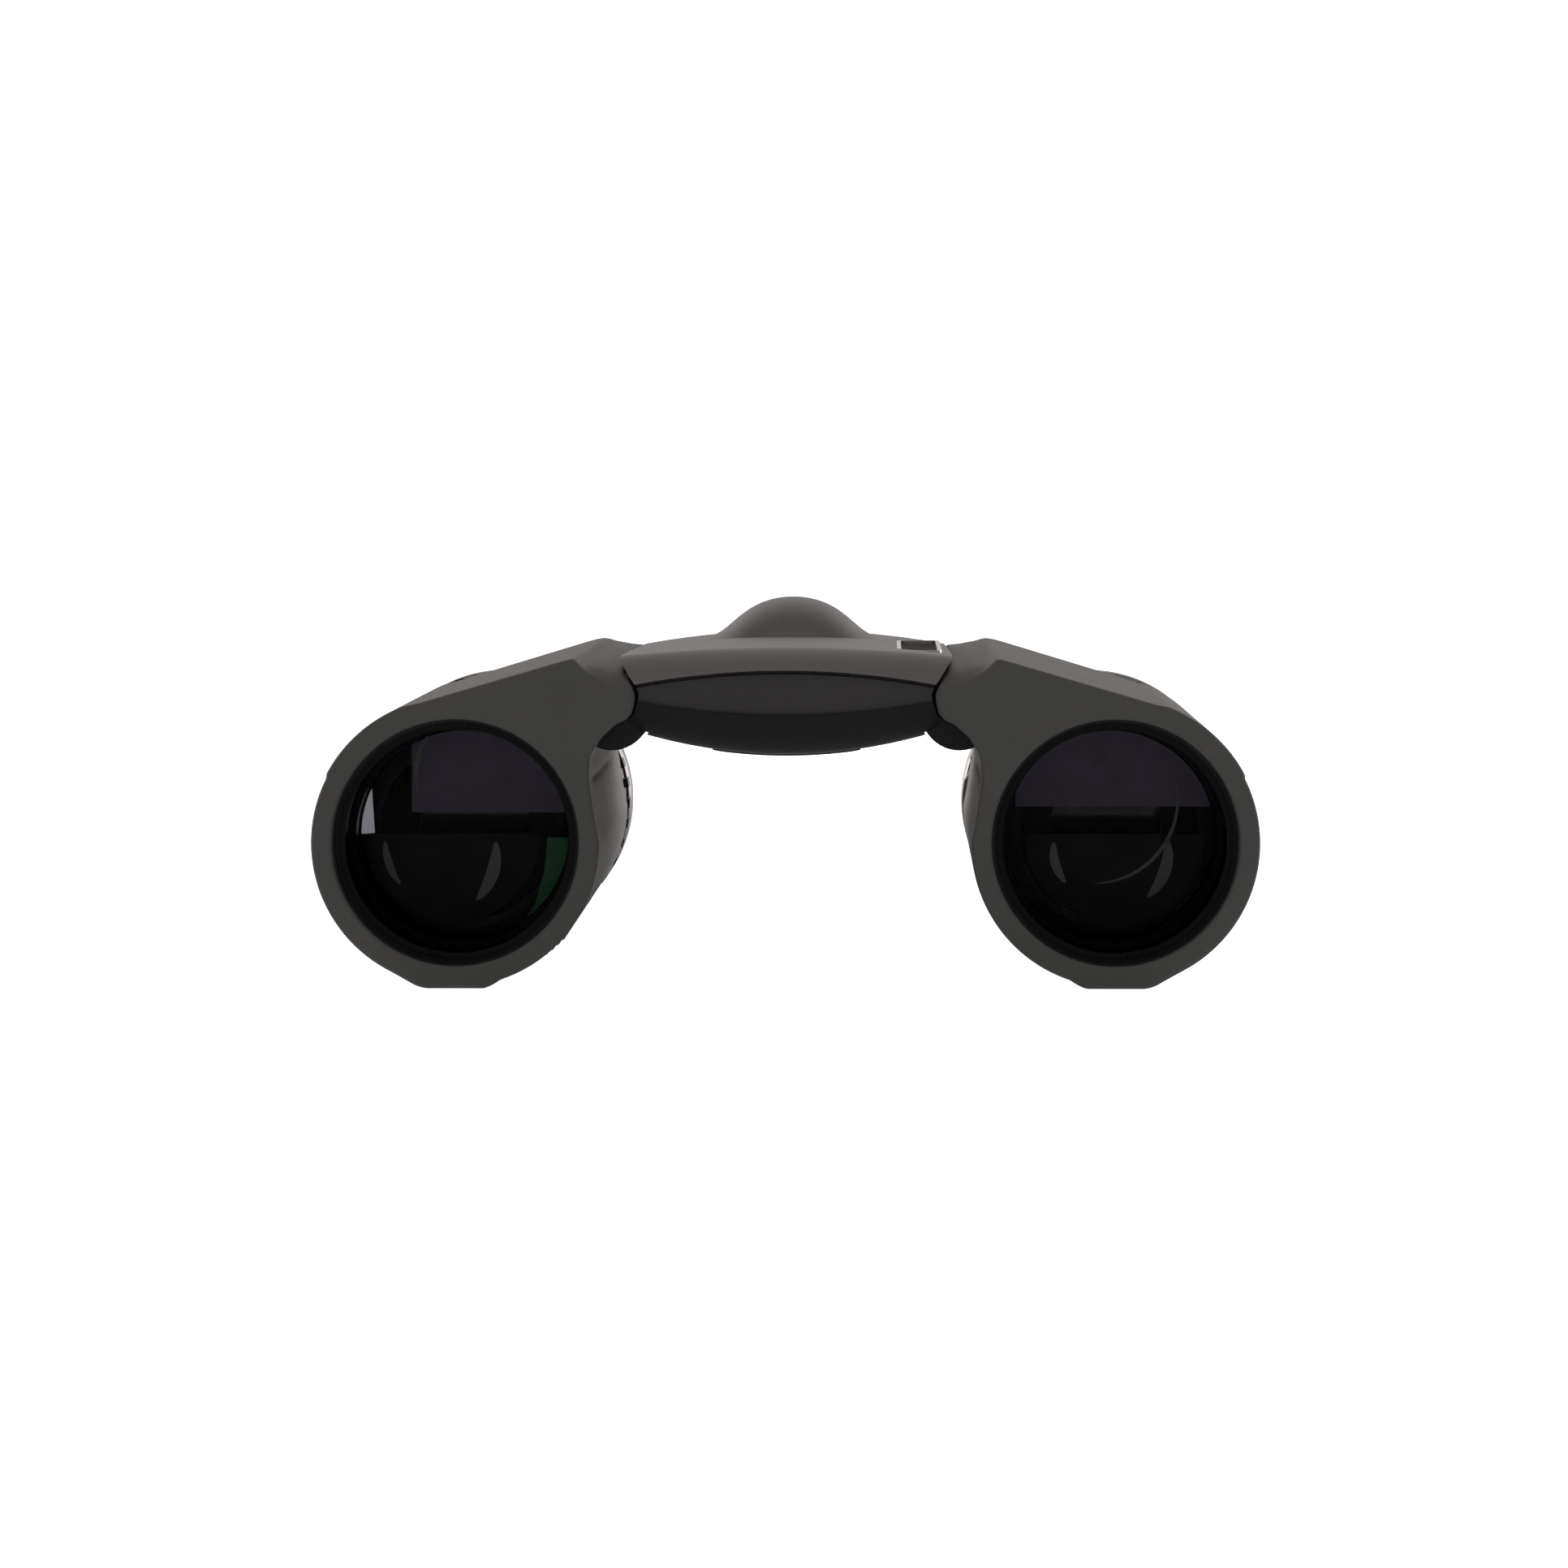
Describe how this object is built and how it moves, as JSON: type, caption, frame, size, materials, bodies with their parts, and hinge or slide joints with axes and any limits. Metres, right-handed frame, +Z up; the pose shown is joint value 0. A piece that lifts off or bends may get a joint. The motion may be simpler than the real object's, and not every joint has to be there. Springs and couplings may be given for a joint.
{
  "type": "binoculars",
  "caption": "Compact roof-prism binoculars: barrels fold on two hinges under a central bridge with a focus wheel.",
  "frame": {"origin": "centre of the footprint on the ground plane, under the middle of the bridge", "axes": "+Z up, optical axes along Y with the objectives facing -Y, +X toward the user's left barrel"},
  "size_m": [0.108, 0.108, 0.0432],
  "materials": {
    "armour_rubber": "matt, fine grain",
    "housing_plastic": "matt black",
    "bridge_plastic": "satin dark grey paint",
    "gloss_black_plastic": "gloss black",
    "ring_rubber": "ribbed black rubber",
    "eyecup_rubber": "soft satin rubber",
    "black_aluminium": "black anodised",
    "cast_aluminium": "as cast",
    "pin_steel": "ground",
    "nut_brass": "turned",
    "bright_chrome": "polished",
    "coated_glass": "anti-reflection coated",
    "prism_glass": "polished"
  },
  "bodies": {
    "bridge": {"bridge_chassis": "cast_aluminium", "bridge_top_cover": "bridge_plastic", "bridge_bottom_cover": "bridge_plastic", "bridge_front_insert": "bridge_plastic", "bridge_screws": "pin_steel", "underside_pad": "ring_rubber", "inset_rim": "bright_chrome", "inset_plate": "gloss_black_plastic", "focus_end_cap": "gloss_black_plastic"},
    "focus_wheel": {"focus_shaft": "pin_steel", "focus_wheel_hub": "housing_plastic", "focus_wheel_grip": "ring_rubber"},
    "focus_slider": {"focus_yoke": "cast_aluminium", "focus_nut": "nut_brass", "right_push_rod": "pin_steel", "left_push_rod": "pin_steel"},
    "right_barrel": {"right_housing": "housing_plastic", "right_armour": "armour_rubber", "right_hinge_pins": "pin_steel", "right_objective_cell": "black_aluminium", "right_objective_retainer": "black_aluminium", "right_objective_lens": "coated_glass", "right_focus_guide": "black_aluminium", "right_half_prism": "prism_glass", "right_roof_prism": "prism_glass", "right_prism_cage": "housing_plastic", "right_field_stop": "black_aluminium", "right_eyepiece_tube": "black_aluminium"},
    "right_focus_carriage": {"right_focus_lens_cell": "black_aluminium", "right_focus_lens": "coated_glass"},
    "right_eyecup_ring": {"right_eyecup_cam": "gloss_black_plastic"},
    "right_eyecup": {"right_eyecup_sleeve": "gloss_black_plastic", "right_eyecup_rubber": "eyecup_rubber"},
    "left_barrel": {"left_housing": "housing_plastic", "left_armour": "armour_rubber", "left_hinge_pins": "pin_steel", "left_objective_cell": "black_aluminium", "left_objective_retainer": "black_aluminium", "left_objective_lens": "coated_glass", "left_focus_guide": "black_aluminium", "left_half_prism": "prism_glass", "left_roof_prism": "prism_glass", "left_prism_cage": "housing_plastic", "left_field_stop": "black_aluminium", "left_eyepiece_tube": "black_aluminium", "left_eyepiece_ring": "ring_rubber", "left_ocular_cell": "black_aluminium", "left_field_lens": "coated_glass", "left_eye_lens": "coated_glass"},
    "left_focus_carriage": {"left_focus_lens_cell": "black_aluminium", "left_focus_lens": "coated_glass"},
    "left_eyecup_ring": {"left_eyecup_cam": "gloss_black_plastic"},
    "left_eyecup": {"left_eyecup_sleeve": "gloss_black_plastic", "left_eyecup_rubber": "eyecup_rubber"},
    "right_diopter": {"right_diopter_ring": "ring_rubber"},
    "right_ocular": {"right_ocular_cell": "black_aluminium", "right_field_lens": "coated_glass", "right_eye_lens": "coated_glass"}
  },
  "joints": [
    {"name": "focus_wheel_turn", "type": "hinge", "parent": "bridge", "child": "focus_wheel", "pos_m": [0, 0, 0.0342], "axis": [0, 1, 0], "range_deg": [-200, 200]},
    {"name": "focus_yoke_slide", "type": "slide", "parent": "bridge", "child": "focus_slider", "axis": [0, 1, 0], "range_m": [-0.0025, 0.0025]},
    {"name": "right_hinge", "type": "hinge", "parent": "bridge", "child": "right_barrel", "pos_m": [-0.0198, 0, 0.0313], "axis": [0, -1, 0], "range_deg": [0, 50]},
    {"name": "right_focus_slide", "type": "slide", "parent": "right_barrel", "child": "right_focus_carriage", "axis": [0, 1, 0], "range_m": [-0.0025, 0.0025]},
    {"name": "right_eyecup_twist", "type": "hinge", "parent": "right_barrel", "child": "right_eyecup_ring", "pos_m": [-0.0375, 0.046, 0.01655], "axis": [0, 1, 0], "range_deg": [0, 90]},
    {"name": "right_eyecup_rise", "type": "slide", "parent": "right_eyecup_ring", "child": "right_eyecup", "axis": [0, 1, 0], "range_m": [0, 0.005]},
    {"name": "left_hinge", "type": "hinge", "parent": "bridge", "child": "left_barrel", "pos_m": [0.0198, 0, 0.0313], "axis": [0, 1, 0], "range_deg": [0, 50]},
    {"name": "left_focus_slide", "type": "slide", "parent": "left_barrel", "child": "left_focus_carriage", "axis": [0, 1, 0], "range_m": [-0.0025, 0.0025]},
    {"name": "left_eyecup_twist", "type": "hinge", "parent": "left_barrel", "child": "left_eyecup_ring", "pos_m": [0.0375, 0.046, 0.01655], "axis": [0, 1, 0], "range_deg": [0, 90]},
    {"name": "left_eyecup_rise", "type": "slide", "parent": "left_eyecup_ring", "child": "left_eyecup", "axis": [0, 1, 0], "range_m": [0, 0.005]},
    {"name": "right_diopter_turn", "type": "hinge", "parent": "right_barrel", "child": "right_diopter", "pos_m": [-0.0375, 0.0397, 0.01655], "axis": [0, 1, 0], "range_deg": [-45, 45]},
    {"name": "right_ocular_slide", "type": "slide", "parent": "right_barrel", "child": "right_ocular", "axis": [0, 1, 0], "range_m": [-0.0012, 0.0012]}
  ],
  "couplings": [
    {"joint": "focus_yoke_slide", "follows": "focus_wheel_turn", "m_per_rad": 0.000716},
    {"joint": "right_focus_slide", "follows": "focus_wheel_turn", "m_per_rad": 0.000716},
    {"joint": "right_eyecup_rise", "follows": "right_eyecup_twist", "m_per_rad": 0.00318},
    {"joint": "left_focus_slide", "follows": "focus_wheel_turn", "m_per_rad": 0.000716},
    {"joint": "left_eyecup_rise", "follows": "left_eyecup_twist", "m_per_rad": 0.00318},
    {"joint": "right_ocular_slide", "follows": "right_diopter_turn", "m_per_rad": 0.0015}
  ]
}
